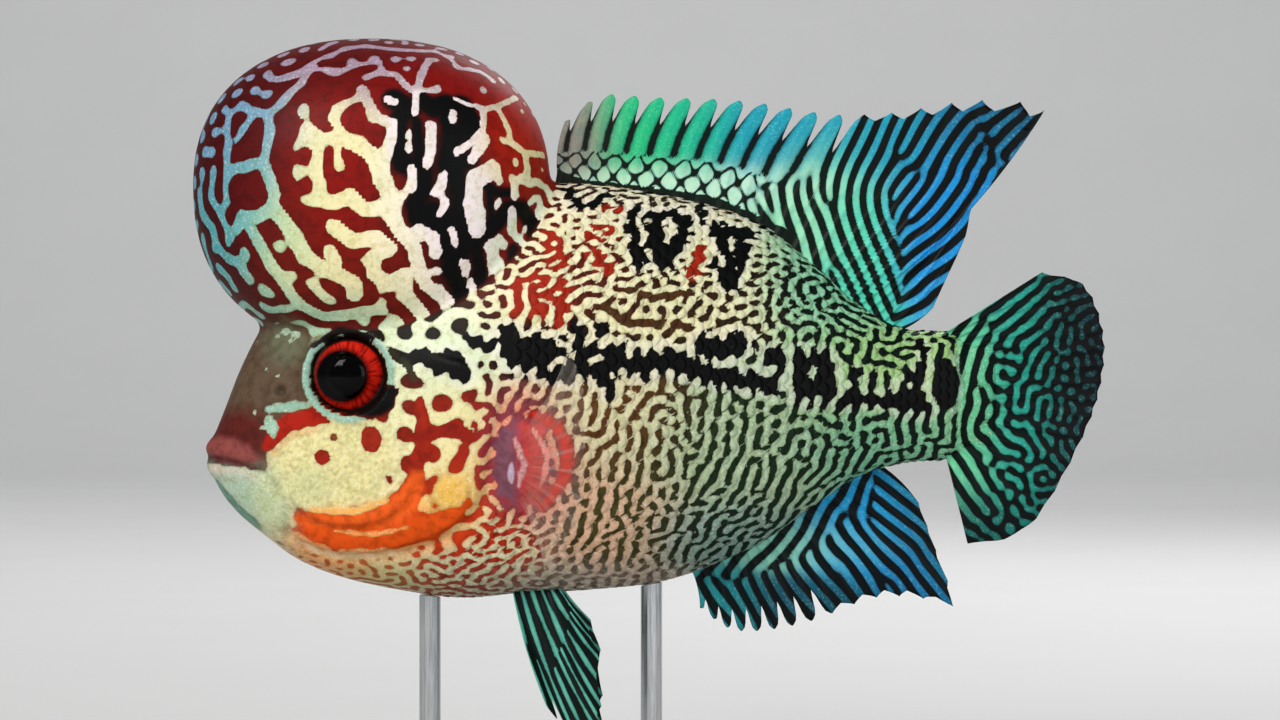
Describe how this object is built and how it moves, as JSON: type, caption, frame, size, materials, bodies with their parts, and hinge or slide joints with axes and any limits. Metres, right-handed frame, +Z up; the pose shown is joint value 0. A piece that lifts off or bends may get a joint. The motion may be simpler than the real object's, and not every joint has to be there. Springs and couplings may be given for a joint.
{
  "type": "flowerhorn cichlid figure",
  "caption": "Life-size still flowerhorn cichlid with a large red nuchal hump and spread fins, held above a flat stand on two short rods.",
  "frame": {"origin": "middle of the stand base's flat underside", "axes": "+X from the snout towards the tail fin, -Y the fish's left side, +Z up"},
  "size_m": [0.1283, 0.0706, 0.1129],
  "materials": {
    "hump_skin": "wet gloss, red cells between a net of pale lines",
    "head_skin": "wet gloss, cream and olive with red blotches",
    "jaw_skin": "wet gloss, pale grey-green",
    "gill_cover_skin": "wet gloss, bright orange below and cream above",
    "trunk_skin": "wet gloss, scaled, cream to green with dark mazes and black marks",
    "stalk_skin": "wet gloss, scaled, green with dark lines",
    "fin": "satin, blue-green stripes on near black",
    "clear_fin": "clear satin membrane, red at the root",
    "eye": "polished, black pupil in a red iris",
    "stand_wood": "dark stained satin",
    "stand_steel": "brushed"
  },
  "bodies": {
    "root": {"nuchal_hump": "hump_skin", "head": "head_skin", "lower_jaw": "jaw_skin", "gill_cover_left": "gill_cover_skin", "gill_cover_right": "gill_cover_skin", "trunk": "trunk_skin", "tail_stalk": "stalk_skin", "dorsal_fin": "fin", "anal_fin": "fin", "caudal_fin": "fin", "pectoral_fin_left": "clear_fin", "pectoral_fin_right": "clear_fin", "pelvic_fin_left": "fin", "pelvic_fin_right": "fin", "eye_left": "eye", "eye_right": "eye", "stand_base": "stand_wood", "stand_rod_front": "stand_steel", "stand_rod_rear": "stand_steel"}
  },
  "joints": []
}
